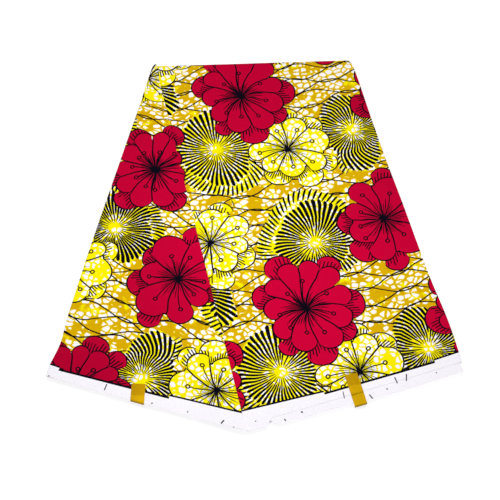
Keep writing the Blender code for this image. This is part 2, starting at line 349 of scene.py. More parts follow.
# centre: where it stands, along and across the print, in mm
# petals: where the wedge starts, in degrees, and how far its tip reaches, in mm
# back: start, end and tip of the petals behind
# rings: direction and distance of the small rings at the ends of the stamens
# up and lean: the direction towards which fine lines leave the centre, and how strongly they bend
# pen and swirl: how bold the stamens are, and how much they curl
FLOWERS = {
    "middle yellow": {
        "centre": (81.6, 125.6), "up": 65.0, "lean": 0.3, "pen": 0.6, "swirl": -0.004,
        "petals": [(-22, 64), (40, 60), (88, 58), (122, 56), (152, 59), (192, 50), (235, 49), (297, 61)],
        "back": [(20, 58, 72), (62, 95, 76), (213, 262, 65), (269, 310, 74), (311, 337, 76)],
        "rings": [(10, 38.5), (56, 39), (102, 38), (174, 42), (210, 31), (270, 31), (315, 41)],
    },
    "side yellow": {
        "centre": (-65.3, -4.5), "up": 75.0, "lean": 0.15, "pen": 0.52, "swirl": 0.005,
        "petals": [(0, 64), (46, 67.5), (100, 67), (148, 65), (212, 60), (243, 58), (261, 54), (321, 53.5)],
        "back": [(48, 78, 81), (85, 108, 70), (130, 170, 74), (203, 232, 75), (255, 288, 79), (295, 342, 69)],
        "rings": [(20, 46), (72, 42), (133, 46), (177, 38.5), (229, 39), (284, 33), (345, 34)],
    },
    "great red": {
        "centre": (38.2, 236.3), "up": 115.0, "lean": 0.45, "pen": 0.9, "swirl": 0.004,
        "petals": [
            (-5, 67), (30, 78), (60, 79), (85, 79), (112, 69), (143, 58.5), (191, 59), (232, 66), (273, 70.5),
            (312, 64),
        ],
        "back": [
            (-27, 17, 81), (38, 64, 92), (90, 121, 95), (127, 167, 78), (220, 246, 76), (255, 290, 89),
            (298, 330, 77),
        ],
        "rings": [(29, 38.5), (82, 46), (123, 36), (179, 38), (219, 36), (256, 36), (291, 42.5), (337, 37.5)],
    },
    "middle red": {
        "centre": (181.6, -22.6), "up": 338.0, "lean": 0.3, "pen": 0.76, "swirl": -0.004,
        "petals": [(-27, 55), (33, 73), (90, 71), (129, 55), (171, 55), (235, 71), (273, 73)],
        "back": [(0, 48, 72), (60, 87, 88), (150, 200, 65.5), (208, 250, 79), (255, 283, 88), (309, 352, 66)],
        "rings": [(11, 41), (60, 44), (111, 48), (147, 32), (190, 35), (219, 42), (264, 38), (303, 39)],
    },
    "side red": {
        "centre": (268.9, -189.0), "up": 338.0, "lean": 0.25, "pen": 0.9, "swirl": 0.004,
        "petals": [
            (-3, 61), (28, 64), (64, 68), (101, 65), (137, 58), (185, 63), (212, 63), (236, 68), (269, 68),
            (294, 71), (322, 65),
        ],
        "back": [
            (3, 42, 78), (50, 83, 82), (110, 152, 76), (168, 214, 79), (224, 248, 83), (250, 281, 86),
            (298, 328, 80),
        ],
        "rings": [
            (7, 36), (40, 32), (80, 32), (105, 34.5), (163, 34), (247, 38), (281, 32), (318, 36), (337, 34.5),
        ],
    },
}
print(len(FLOWERS), "flowers,", sum(len(chart["petals"]) for chart in FLOWERS.values()), "front petals")

# %% [markdown]
# ## A flower in polar coordinates
# A Color Ramp with constant steps works as a table: the direction picks the wedge, and the ramp gives
# the wedge's start, width and tip. Inside a wedge of half angle w, a circle that touches both sides and
# reaches the tip at distance R has its middle at R / (1 + sin w), which gives the round petal end.

# %% Polar coordinates and petals
# TALLEST: a ramp holds numbers from 0 to 1, so distances go in as shares of this one
# CALM: distance from which curved lines run true; NOTCH: share of the reach that no gap cuts into
TALLEST = 100.0
CALM = 52.0
NOTCH = 0.8


def bent_direction(angle, distance, chart):
    """Direction, in degrees, by which polar counts a curved line at one place. It uses plain numbers."""
    pull = chart["lean"] * max(0.0, 1 - distance / CALM)
    up, turn = math.radians(chart["up"]), math.radians(angle)
    x, y = math.cos(turn) - pull * math.cos(up), math.sin(turn) - pull * math.sin(up)
    return math.degrees(math.atan2(y, x))


def polar(along, across, chart):
    """Distance, in mm, and direction, in degrees, from a motif's centre, repeated over the cloth.

    The third result is a direction for curved lines. Such a line leaves the centre bent towards the
    motif's `up`, as water leaves a fountain, and runs true from CALM mm outwards. The fourth says how
    much closer together this brings the lines.
    """
    dx = (along - chart["centre"][0]).wrapped(REPEAT_ALONG)
    dy = (across - chart["centre"][1]).wrapped(REPEAT_ACROSS)
    distance = (dx * dx + dy * dy).root()
    up = math.radians(chart["up"])
    pull = distance * (1.0 - distance / CALM).high(0.0) * chart["lean"]
    x, y = dx - pull * math.cos(up), dy - pull * math.sin(up)
    crowd = (dx * x + dy * y) / (x * x + y * y).high(0.01)
    degrees = 180 / math.pi
    return distance, dy.maths("ARCTAN2", dx) * degrees, y.maths("ARCTAN2", x) * degrees, crowd


def nearest(phase, pitch, distance):
    """Of lines that leave the centre a pitch in degrees apart, the nearest one's number and distance."""
    number = (phase + 0.5).maths("FLOOR")
    return number, abs(phase - number) * distance * math.radians(pitch)


def wedges(direction, table):
    """Angle from the middle of the wedge, half its width (both in radians) and its tip, in mm."""
    first = table[0][0]
    place = ((direction - first) % 360.0) / 360.0
    stops = []
    for start, width, tip in table:
        stops.append(((start - first) / 360, ((start - first) / 360, width / 360, tip / TALLEST)))
    start, width, tip = steps(place, stops)
    half = width * math.pi
    return (place - start) * 2 * math.pi - half, half, tip * TALLEST


def petal_edge(off_axis, half, tip, plump=1.04):
    """Distance from the flower's centre to the round end of the petal, in this direction."""
    sine = half.maths("SINE") * plump
    middle = tip / (sine + 1.0)
    radius = middle * sine
    reach = middle * off_axis.maths("SINE")
    return middle * off_axis.maths("COSINE") + (radius * radius - reach * reach).high(0.0).root()


def following(table):
    """Where the row after each row of a round table starts, in degrees."""
    return [row[0] for row in table[1:]] + [table[0][0] + 360]


def front_petals(distance, leaning, crowd, table):
    """Distance past the edge of the front petals, and from the lines between them."""
    rows = [(start, end - start, tip) for (start, tip), end in zip(table, following(table))]
    off_axis, half, tip = wedges(leaning, rows)
    front = distance - petal_edge(off_axis, half, tip).high(tip * NOTCH)
    return front, (half - abs(off_axis)) * distance / crowd


def back_petals(distance, direction, table):
    """Distance past the edge of the petals behind, which stand apart."""
    rows = []
    for (start, end, tip), after in zip(table, following(table)):
        rows.append((start, end - start, tip))
        if after - end > 0.5:
            rows.append((end, after - end, 0.0))
    return distance - petal_edge(*wedges(direction, rows), plump=1.15)


print("at 20 mm a line at 0 degrees counts as", round(bent_direction(0, 20, FLOWERS["great red"])), "degrees")

# %% [markdown]
# ## Stamens, rings and hatching
# Fine stamens fan out from the centre, and a few longer stalks end in small rings. The stamens are
# counted, so that each number can have its own random length. Short hatching lines shade the petals
# behind, from the edge of the front petals outwards.

# %% Lines of a flower
# FLARE: how much half the width of a stroke grows with each mm from the centre
STAMEN_PITCH = 8.0
HATCH_PITCH = 3.6
RING = 2.5
FLARE = 0.031


def stamens(distance, leaning, crowd, chart):
    """Stamens, each of its own length and thinner towards its tip, and the random number of each."""
    phase = leaning / STAMEN_PITCH + (distance - 20.0) * chart["swirl"]
    number, aside = nearest(phase, STAMEN_PITCH, distance)
    chance = (number + chart["centre"][0]).chance()
    length = 18.0 + chance * 20.0
    taper = ((length - distance) / 9.0).clamped().root()
    width = taper * (0.22 + distance.low(22.0) * FLARE) * chart["pen"]
    return (aside / crowd).within(width) * distance.within(length, 2.0), chance


def rings(distance, direction, leaning, crowd, chart):
    """Distance from the middle of the nearest ring, and the stalk that carries the ring."""
    table = chart["rings"]
    first = (table[-1][0] + table[0][0] - 360) / 2
    starts = [first] + [(a[0] + b[0]) / 2 for a, b in zip(table, table[1:])]
    stops = []
    for start, (angle, out) in zip(starts, table):
        kink = (bent_direction(angle, out, chart) - angle + 180) % 360
        stops.append(((start - first) / 360, ((angle - first) / 360, out / TALLEST, kink / 360)))
    place = ((direction - first) % 360.0) / 360.0
    angle, out, kink = steps(place, stops)
    swing = (place - angle) * (2 * math.pi)
    out = out * TALLEST
    from_ring = distance * distance + out * out - distance * out * swing.maths("COSINE") * 2.0
    bent = (leaning - direction).wrapped(360.0) - (kink - 0.5) * 360.0
    aside = abs(swing + bent * math.radians(1.0)) * distance / crowd
    return from_ring.high(0.0).root(), aside.within(0.75) * distance.within(out - RING + 0.1)


def flower(along, across, chart):
    """Masks of a flower: where its cloth is, and where its lines are."""
    distance, direction, leaning, crowd = polar(along, across, chart)
    front, between = front_petals(distance, leaning, crowd, chart["petals"])
    back = back_petals(distance, direction, chart["back"])
    stamen, chance = stamens(distance, leaning, crowd, chart)
    from_ring, stalk = rings(distance, direction, leaning, crowd, chart)
    ring = abs(from_ring - RING).within(0.95)
    number, aside = nearest(direction / HATCH_PITCH, HATCH_PITCH, distance)
    hatch = aside.within(0.86) * (front - (number * 1.7).chance() * 8.0).within(6.5, 1.0)
    on_front = front.within(0.0)
    behind = 1.0 - on_front
    # the outlines of the front petals, then the fine lines on them, which leave the rings open
    lines = abs(front).within(1.15).high(between.within(1.1) * on_front)
    lines = lines.high(stamen.high(ring).high(stalk) * on_front * (1.0 - from_ring.within(1.6)))
    # the petals behind, and the ragged dark heart
    lines = lines.high(hatch * behind * back.within(-2.0)).high(abs(back).within(1.1) * behind)
    lines = lines.high((distance - chance * 3.5).within(2.4, 1.2))
    whole = front.low(back)
    lines = lines * whole.within(1.0)
    return whole.within(0.0).high(lines), lines


print("stamens round a flower:", round(360 / STAMEN_PITCH))

# %% [markdown]
# ## Sunbursts
# A sunburst is a ring of tapered strokes round a blank yellow heart, with a border of short strokes on
# part of its rim. Another ramp, this time a smooth one, says how long the strokes are in each direction.

# %% Table of sunbursts
# rim: direction and reach of the long strokes, then the start and end of the border where there is one
# bold and stout: weight of the strokes, and the distance up to which they widen
# pitch: degrees between strokes; bend and hook: how much they curve, over all and in their outer part
SUNBURSTS = {
    "great sunburst": {
        "centre": (-19.5, 151.5), "up": 255.0, "lean": 0.12,
        "bold": 1.16, "stout": 70.0, "pitch": 7.2, "bend": 0.004, "hook": 0.0,
        "rim": [
            (0, 48), (60, 64), (86, 72), (112, 67), (135, 61), (165, 62), (190, 57, 60, 70),
            (215, 56, 61, 71), (240, 57, 62, 76), (262, 64, 70, 80), (280, 70, 75, 84), (300, 60, 68, 86),
            (318, 53, 59, 78), (340, 47),
        ],
    },
    "fan sunburst": {
        "centre": (78.0, -38.5), "up": 270.0, "lean": 0.1,
        "bold": 1.22, "stout": 70.0, "pitch": 7.2, "bend": -0.004, "hook": 0.02,
        "rim": [
            (0, 46), (28, 56, 61, 68), (45, 70, 73, 81), (88, 73, 77, 90), (98, 64, 76, 89),
            (118, 60, 68, 82), (140, 53, 63, 75), (160, 54, 65, 78), (178, 61, 67, 83), (200, 53, 57, 73),
            (235, 40), (286, 42), (296, 44, 50, 62), (318, 48, 53, 67), (328, 48), (348, 51),
        ],
    },
    "tall sunburst": {
        "centre": (182.4, 140.6), "up": 289.0, "lean": 0.35,
        "bold": 1.2, "stout": 64.0, "pitch": 7.0, "bend": -0.01, "hook": 0.075,
        "rim": [
            (0, 40), (40, 44), (78, 60), (95, 66), (120, 59), (150, 48), (180, 44), (215, 44),
            (234, 50, 56, 64), (248, 72, 76, 82), (270, 78), (290, 66), (315, 46), (340, 40),
        ],
    },
    "side sunburst": {
        "centre": (294.2, -78.8), "up": 100.0, "lean": 0.1,
        "bold": 1.25, "stout": 56.0, "pitch": 6.7, "bend": -0.004, "hook": -0.02,
        "rim": [
            (0, 50), (30, 40), (70, 40), (105, 52), (128, 62), (150, 58), (172, 62, 64, 72),
            (190, 50, 56, 70), (208, 46, 52, 66), (230, 57, 60, 66), (255, 56), (285, 56, 62, 74),
            (296, 66, 70, 76), (306, 74), (320, 73), (334, 61), (350, 57),
        ],
    },
}
BORDER_PITCH = 0.75


def sunburst(along, across, chart):
    """Masks of a sunburst: where its cloth is, and where its strokes are."""
    distance, direction, leaning, crowd = polar(along, across, chart)
    rows = [(*row, 0, 0)[:4] for row in chart["rim"]]
    rows.append((360, *rows[0][1:]))
    stops = [(row[0] / 360, [value / TALLEST for value in row[1:]]) for row in rows]
    reach, start, end = [part * TALLEST for part in steps((direction % 360.0) / 360.0, stops, smooth=True)]
    pitch = chart["pitch"]
    hooked = (distance - 42.0).high(0.0) * chart["hook"]
    number, aside = nearest(leaning / pitch + distance * chart["bend"] - hooked, pitch, distance)
    chance = (number + chart["centre"][1]).chance()
    second = (chance * 9.0).maths("FRACT")
    # the strokes end unevenly
    tip = reach + 3.5 - second * 5.0
    # every other stroke starts further out, so that the strokes don't clog at the heart
    root = 7.0 + chance * 3.0 + (number % 2.0) * (7.0 + second * 10.0)
    blunt = ((tip - distance) / 3.0).clamped().root() * ((distance - root) / 8.0 + 0.45).clamped()
    thickness = (distance.low(chart["stout"]) * FLARE + 0.12 + chance * 0.14) * blunt * chart["bold"]
    strokes = aside.within(thickness) * (1.0 - distance.within(root, 3.0))
    # the strokes of the border stand closer together and swell in their middle
    pitch = pitch * BORDER_PITCH
    number, aside = nearest(direction / pitch + distance * 0.05, pitch, distance)
    chance = (number * 1.3).chance()
    start = start.high(reach + 4.0) - 6.0 + chance * 2.0
    run = ((distance - start) / (end + 3.5 - chance * 3.0 - start).high(1.0)).clamped()
    shape = run**0.5 * (1.0 - run) ** 0.3 * 3.0
    has_border = end > 12.0
    border = aside.within(shape) * (has_border * (shape > 0.3))
    cover = distance.within(reach.high(end * has_border) + 0.5, 1.5)
    return cover, strokes.high(border)


print(len(SUNBURSTS), "sunbursts, of", round(360 / SUNBURSTS["great sunburst"]["pitch"]), "strokes or more")

# %% [markdown]
# ## The ground
# The mustard ground shows white crackle, where the wax cracked and kept the dye out, and thin leaf lines
# that cross each other. A Noise Texture alone would give clouds without edges, so the crackle is made of
# the edges of random cells, with some of the cells left out. The leaf lines are two sets of sine waves.

# %% Crackle and leaf lines
LEAF_PITCH = 27.0
LEAF_LENGTH = 118.0
LEAF_SWING = 9.0


def crackle(place, size, spread, share, stretch=1.0):
    """White cotton between cracks of dye: where it is white, and where a pale rim of dye surrounds it.

    The cells are size mm wide. They come in patches of about spread mm, where a noise is over share.
    """
    wobble = place.noise(190.0, output=1).vectors("MULTIPLY_ADD", (0.0036,) * 3, place)
    # the same cells are read twice: how far their edges are, and how far their middles
    cells = {"Vector": wobble.vectors("MULTIPLY", (1.0, stretch, 1.0)), "Scale": 1000 / size}
    kind = {"voronoi_dimensions": "2D"}
    edges = place.add("ShaderNodeTexVoronoi", {**kind, "feature": "DISTANCE_TO_EDGE"}, **cells)
    middles = place.add("ShaderNodeTexVoronoi", {**kind, "feature": "F1"}, **cells)
    own = place.add("ShaderNodeSeparateColor", {}, Color=middles.other())
    patches = place.noise(1000 / spread, Detail=1.5)
    # each cell has cracks of its own width, and where patches are low they close over it
    limit = 0.09 + own * 0.13 + (share - patches).high(0.0) * 1.6
    inside = (edges - limit).low((0.52 - middles) * 0.7)
    return (inside / 0.05 + 0.5).clamped(), ((inside + 0.075) / 0.07 + 0.5).clamped()


def leaf_lines(along, across):
    """Thin lines that swing along the cloth and cross each other, like the outlines of long leaves."""
    found = []
    for turn, start in ((1.0, 0.0), (-1.0, LEAF_PITCH / 2)):
        row = ((across - start) / LEAF_PITCH + 0.5).maths("FLOOR")
        lean = (row * 0.71 + start).chance() * 2.2
        wave = (along * (2 * math.pi / LEAF_LENGTH) + lean).maths("SINE") * (LEAF_SWING * turn)
        found.append(abs(across - start - row * LEAF_PITCH - wave))
    return [found[0].low(found[1]).within(1.03)]


print("leaf lines stand", LEAF_PITCH / 2, "mm apart")

# %% [markdown]
# ## The whole print
# The layers go down as in the pattern: the ground, then the sunbursts, the yellow flowers and the red
# ones, each in a node group of its own. A little noise shifts everything, because the blocks were cut by
# hand. They didn't always land square either, so beside the pleat and at the left selvedge a few motifs
# sit off the repeat.

# %% Draw the print
# slips: between which two values of across, and how far off the motif sits there, along and across
# DRIFT: how far, in mm, the hand-cut blocks stray
FAR = 1000.0
RIGHT_SLIPS = {
    "side red": [(-FAR, 40.0, 1.0, -17.0), (40.0, FAR, 3.0, -21.0)],
    "side sunburst": [(40.0, FAR, 0.0, -10.0)],
    "side yellow": [(40.0, FAR, -4.0, -10.0)],
}
LEFT_SLIPS = {
    "side red": [(40.0, FAR, -7.0, -8.0)],
    "side yellow": [(-FAR, -190.0, 3.9, 2.3), (-190.0, 40.0, -1.6, 2.8)],
}
DRIFT = 3.2


def slipped(along, across, rows, slips_end):
    """Print coordinates brought back onto the repeat, for a motif that slipped before slips_end."""
    dx, dy = 0.0, 0.0
    for low, high, off_along, off_across in rows:
        there = (along < slips_end) * (across > low) * (across < high)
        dx, dy = there * off_along + dx, there * off_across + dy
    return (along - dx, across - dy) if rows else (along, across)


def draw_print(base, slips, slips_end):
    """Colour of the printed cloth, from the UV map called print, with the slips of this panel."""
    place = base.add("ShaderNodeUVMap", {"uv_map": "print"})
    hand = place.noise(34.0, output=1, Detail=1.0).vectors("MULTIPLY_ADD", (DRIFT * MM,) * 3, place)
    along, across = [wire - DRIFT / 2 for wire in hand.in_mm()]
    white, rim = crackle(hand, size=10.5, spread=26.0, share=0.515, stretch=1.3)
    pale = (rim * 0.75).high((place.noise(60.0, Detail=1.0) - 0.6) * 7.0).clamped()
    colour = white.mixed(pale.mixed(MUSTARD, YELLOW), COTTON)
    leaves = grouped("leaf lines", along, across, leaf_lines, ["Lines"])[0]
    colour = leaves.mixed(colour, OUTLINE)
    # the crimson took unevenly: it is deeper in some broad bands of the cloth than in others
    bands = ((across + 141.0) / 111.0).maths("COSINE") + ((along - 38.0) / 95.0).maths("COSINE")
    grounds = {
        "sunburst": crackle(hand, size=8.0, spread=22.0, share=0.54)[0].mixed(YELLOW, COTTON),
        "yellow": crackle(hand, size=8.8, spread=34.0, share=0.51)[0].mixed(YELLOW, COTTON),
        "red": (bands * 0.25 + 0.5).mixed(DEEP_CRIMSON, CRIMSON),
    }
    for name, chart in {**SUNBURSTS, **FLOWERS}.items():
        draw = sunburst if name in SUNBURSTS else flower
        here = slipped(along, across, slips.get(name, []), slips_end)
        cover, lines = grouped(name, *here, lambda a, b: draw(a, b, chart), ["Cover", "Lines"])
        colour = lines.mixed(cover.mixed(colour, grounds[name.split()[-1]]), OUTLINE)
    return colour


print("slipped on the right:", *RIGHT_SLIPS, "and on the left:", *LEFT_SLIPS)

# %% [markdown]
# ## The selvedge
# Along its edge the cloth is left white, with a black line where the print stops and a few of the
# printer's register ticks. The second UV map measures in from the edge, so the band stays parallel to
# it. A fine plain weave and soft crumples go into the bump.

# %% White edge, black line, ticks and weave
THREAD = 0.42


def tick(along, across, x, y, dx, dy, width):
    """A short printed tick from one point of the print to another, in mm."""
    length = math.hypot(dx, dy)
    ux, uy = dx / length, dy / length
    px, py = along - x, across - y
    run = (px * ux + py * uy).high(0.0).low(length)
    gap_x, gap_y = px - run * ux, py - run * uy
    return (gap_x * gap_x + gap_y * gap_y).root().within(width)


def new_material(name, roughness, shine):
    """A new material, its shader, and a bare wire to build its nodes from."""
    made = bpy.data.materials.new(name)
    made.use_nodes = True
    shader = made.node_tree.nodes["Principled BSDF"]
    shader.inputs["Roughness"].default_value = roughness
    shader.inputs["Specular IOR Level"].default_value = shine
    return made, shader, Wire(made.node_tree)


def printed_cotton(name, ticks, step, slips, slips_end):
    """The printed cloth: the print and the white selvedge, where the print's edge takes one step."""
    made, shader, base = new_material(name, roughness=0.82, shine=0.02)
    colour = draw_print(base, slips, slips_end)
    edge_map = base.add("ShaderNodeUVMap", {"uv_map": "selvedge"})
    place = base.add("ShaderNodeUVMap", {"uv_map": "print"})
    run, inward = edge_map.in_mm()
    along, across = place.in_mm()
    start, end, drop = step
    stepped = (run > start) * (run < end) * drop
    print_edge = inward + stepped
    marks = abs(print_edge - 1.0).within(1.25 + stepped * 0.08)
    for one in ticks:
        marks = marks.high(tick(along, across, *one))
    colour = marks.mixed(print_edge.within(0.0).mixed(colour, COTTON), OUTLINE)
    fade = edge_map.noise(9.0, Detail=2.0)
    uneven = place.noise(420.0, Detail=2.0, Roughness=0.7)
    tint = base.add("ShaderNodeHueSaturation", {}, Value=0.86 + fade * 0.08 + uneven * 0.2, Color=colour)
    tint.into(shader, "Base Color")
    warp, weft = [(wire * (2 * math.pi / THREAD)).maths("SINE") for wire in (along, across)]
    crumple = place.noise(26.0, Detail=3.0, Roughness=0.55)
    (warp * weft * 0.06 + crumple * 2.2).bump(shader, strength=0.22, distance=0.0012)
    print(name, "has", len(made.node_tree.nodes), "nodes")
    return made


print("the weave has", round(10 / THREAD), "threads a centimetre")

# %% [markdown]
# ## A sheet from rows of points
# Cloth is a thin shell. Each sheet is a grid of points at the middle of the cloth, with its UV maps set
# while we still know where each point lies in the flat cloth, and Solidify gives it a thickness. The
# underside takes the same UVs, as wax print shows on both faces.

# %% Grid to cloth
CLOTH = 0.45
LAYER_ROOM = 0.35
CRISP = math.radians(55)


def mesh_object(name, mesh_data, material):
    mesh = bpy.data.meshes.new(name)
    mesh_data.to_mesh(mesh)
    mesh_data.free()
    mesh.materials.append(material)
    made = bpy.data.objects.new(name, mesh)
    scene.collection.objects.link(made)
    return made


def applied(piece, modifier):
    """The piece's mesh with its modifier applied. The modifier is taken off."""
    mesh = bpy.data.meshes.new_from_object(piece.evaluated_get(bpy.context.evaluated_depsgraph_get()))
    piece.modifiers.remove(modifier)
    return mesh


def with_wall(sheet, thickness):
    """Give a sheet its thickness, and keep its cut edges crisp while the rest is shaded smooth."""
    wall = sheet.modifiers.new("thickness", "SOLIDIFY")
    wall.thickness = thickness * MM
    wall.offset = 0.0
    sheet.data = applied(sheet, wall)
    sheet.data.shade_smooth()
    sheet.data.set_sharp_from_angle(angle=CRISP)
    return sheet


def grid_sheet(name, maps, rows, material, thickness):
    """A thin wall, face up, from rows of cells. A cell is a point and a pair for each UV map, in mm."""
    grid = bmesh.new()
    layers = [grid.loops.layers.uv.new(label) for label in maps]
    made = [[grid.verts.new(Vector(cell[0]) * MM) for cell in row] for row in rows]
    for i in range(len(rows) - 1):
        for j in range(len(rows[0]) - 1):
            corners = [(i, j), (i, j + 1), (i + 1, j + 1), (i + 1, j)]
            face = grid.faces.new([made[a][b] for a, b in corners])
            for loop, (a, b) in zip(face.loops, corners):
                for layer, pair in zip(layers, rows[a][b][1:]):
                    loop[layer].uv = Vector(pair) * MM
    grid.normal_update()
    highest = max(grid.faces, key=lambda face: face.calc_center_median().z)
    if highest.normal.z <= 0:
        bmesh.ops.reverse_faces(grid, faces=grid.faces)
    print(name, "has", len(rows), "rows of", len(rows[0]), "points")
    return with_wall(mesh_object(name, grid, material), thickness)


def cloth_sheet(name, rows, material):
    """A sheet of cloth from rows of (point, print coordinates, distance in from the printed edge)."""
    cells = [[(point, flat, (flat[0], inward)) for point, flat, inward in row] for row in rows]
    return grid_sheet(name, ("print", "selvedge"), cells, material, CLOTH)


print("cloth", CLOTH, "mm thick, with", LAYER_ROOM, "mm of air under it")

# %% [markdown]
# ## Soft relief
# Laid cloth is never quite flat. A few long, low waves and the ghosts of the shelf folds run through all
# the upper layers, so the same function lifts each of them and they never cut through each other.

# %% Waves and old folds
# old folds: a point that it passes, its heading in degrees, its height and its width
OLD_FOLDS = [
    ((-60.0, 120.0), 14.0, 0.30, 9.0), ((70.0, 60.0), 97.0, -0.26, 11.0),
    ((150.0, -90.0), 8.0, 0.24, 12.0), ((-120.0, -60.0), 80.0, 0.22, 10.0),
]


def relief(x, y):
    """Height, in mm, of the waves and old folds of the upper layers at a place."""
    waves = 0.30 * math.sin(x / 61.0 + y / 173.0) * math.sin(y / 83.0 - x / 240.0 + 0.8)
    waves += 0.16 * math.sin(x / 27.0 - y / 39.0 + 2.0) * math.cos(y / 51.0 + 0.4)
    for (cx, cy), heading, height, width in OLD_FOLDS:
        angle = math.radians(heading)
        aside = (y - cy) * math.cos(angle) - (x - cx) * math.sin(angle)
        waves += height * math.exp(-((aside / width) ** 2))
    return waves


print("relief at three places, mm:", [round(relief(x, y), 2) for x, y in ((-150, 0), (0, 0), (150, 0))])

# %% [markdown]
# ## Where the print stops
# Near the selvedge the cloth swings a little, so the line where the print stops isn't quite straight on
# the flat print. Two short tables say where it runs for each panel, and the distance to it becomes the
# second number of the "selvedge" map.

# %% Printed edge
RIGHT_PRINT_END = [(-90.0, -270.6), (28.0, -268.4), (184.0, -258.0), (226.0, -253.5)]
LEFT_PRINT_END = [(40.0, 149.4), (138.0, 152.6), (292.0, 154.3), (312.0, 153.2)]


def along_table(table, value):
    for (x0, y0), (x1, y1) in zip(table, table[1:]):
        if value <= x1:
            break
    return y0 + (y1 - y0) * (value - x0) / (x1 - x0)


def right_inward(flat):
    return flat[1] - along_table(RIGHT_PRINT_END, flat[0])


def left_inward(flat):
    return along_table(LEFT_PRINT_END, flat[0]) - flat[1]


print("white band at the point:", round(-right_inward(right_print(-8.5, -311.3)), 1), "mm")

# %% [markdown]
# ## A folded edge
# At its sides the cloth turns under itself. The turn is half a circle, and the turned part lies flat
# below for a dozen millimetres, where the next layer hides it. A Bevel would only round the cut edge, and
# here the print has to run on round the turn, so we add the turned points to each row ourselves.

# %% Turn an edge under
TURN = 0.85
TURN_STEPS = 6
DOWN = Vector((0, 0, -1))


def level_unit(start, end):
    return Vector((end.x - start.x, end.y - start.y, 0.0)).normalized()


def folded_edge(cell, before, way, inward, lip, depth_of, radius=TURN):
    """Cells of an edge that turns under. The print runs on round the turn and along the lip."""
    flat = Vector(cell[1])
    onward = (flat - Vector(before[1])).normalized()
    centre = cell[0] - way * (CLOTH / 2 + radius) + inward * radius
    points = []
    for step in range(TURN_STEPS + 1):
        angle = math.pi / 2 - math.pi * step / TURN_STEPS
        place = centre + radius * (way * math.cos(angle) - inward * math.sin(angle))
        points.append((place, radius * math.pi * step / TURN_STEPS))
    last, run = points[-1]
    points += [(last - way * lip * share, run + lip * share) for share in (0.35, 0.7, 1.0)]
    places = [(place, flat + onward * (run - radius)) for place, run in points]
    return [(place, tuple(past), depth_of(past)) for place, past in places]


print("a folded edge has", TURN_STEPS + 4, "points")

# %% [markdown]
# ## The knife pleat between the panels
# The left panel ends in a fold that runs from the top left corner to the point. Under it the cloth goes
# back to the left for some way, turns again and becomes the right panel, which so starts hidden. Both
# panels ask one formula how deep the pleat is, so that they agree everywhere.

# %% Pleat sizes
PLEAT_DEPTH = 45.0
PLEAT_SPREAD = math.radians(15.0)
SMALL_LIP = 0.6
POINT = Vector(PLEAT[-1])
UP_PLEAT = (Vector(PLEAT[0]) - POINT).normalized()
LEFT_OF_PLEAT = Vector((-UP_PLEAT.y, UP_PLEAT.x))


def left_width(fraction):
    return (place_on(LEFT_SIDE, fraction) - straight_on(PLEAT, fraction)).length


def pleat_depth(fraction, most):
    """How deep the pleat is: it narrows to nothing at the point."""
    return max(SMALL_LIP, min(PLEAT_DEPTH, (1 - fraction) * length_of(PLEAT) * math.tan(PLEAT_SPREAD), most))


def under_pleat(fraction):
    """How far the right panel runs on under the left one."""
    return pleat_depth(fraction, left_width(fraction) - 2.5)


def right_start(fraction):
    return straight_on(PLEAT, fraction) + LEFT_OF_PLEAT * under_pleat(fraction)


print("the pleat is", round(length_of(PLEAT)), "mm long, and", round(under_pleat(0.5)), "mm deep half way")

# %% [markdown]
# ## The right panel
# The right panel starts as a flap on the floor behind the pack, comes round the top fold and runs down
# to the selvedge. A cloth simulation would move it off the photographed outline, so we place its rows of
# points ourselves. They run across it, and each is finished with the folded right edge.

# %% Make the right panel
PANEL_ROWS = 150
RIGHT_COLUMNS = 110
NOSE_STEPS = 12
NOSE_SHARE = 0.0131
NOSE_FLAP = 10.0
SIDE_LIP = 12.0


def right_row(fraction):
    """Points across the right panel at a share of its length, from under the pleat to the right side."""
    left, right = right_start(fraction), place_on(RIGHT_SIDE, fraction)
    ends = right_start(1.0), place_on(RIGHT_SIDE, 1.0)
    row = []
    for i in range(RIGHT_COLUMNS + 1):
        share = i / RIGHT_COLUMNS
        front = straight_on(RIGHT_FRONT, share)
        row.append(pulled(left.lerp(right, share), front, ends, share, ease(fraction, 0.9, 1.0)))
    return row


def with_right_edge(cells, inward, lip):
    """Replace the last point of a row with the folded edge."""
    way = level_unit(cells[-2][0], cells[-1][0])
    return cells[:-1] + folded_edge(cells[-1], cells[-2], way, inward, lip, right_inward)


def top_fold(shoulder):
    """Rows from the flap on the floor, round the top fold, up to the shoulder of the panel."""
    outward = (place_on(RIGHT_SIDE, 0.0) - shoulder[-1]).normalized()
    half_turn = (top_of_pack(shoulder[-1].y) - CLOTH) / 2
    angles = [-math.pi / 2 + math.pi * step / NOSE_STEPS for step in range(NOSE_STEPS + 1)]
    stops = [(half_turn * (math.pi / 2 - angle), angle, 0.0) for angle in angles]
    rows = []
    for run, angle, back in [(math.pi * half_turn + NOSE_FLAP, -math.pi / 2, NOSE_FLAP)] + stops:
        row = []
        for point in shoulder:
            rise = (top_of_pack(point.y) + relief(*point) - CLOTH) / 2
            place = point + outward * (half_turn * math.cos(angle) - back)
            flat = right_print(*(point + outward * run))
            height = CLOTH / 2 + rise * (1 + math.sin(angle))
            row.append((Vector((*place, height)), flat, right_inward(flat)))
        inward = Vector((*(-outward * math.cos(angle)), -math.sin(angle)))
        rows.append(with_right_edge(row, inward, SMALL_LIP))
    return rows


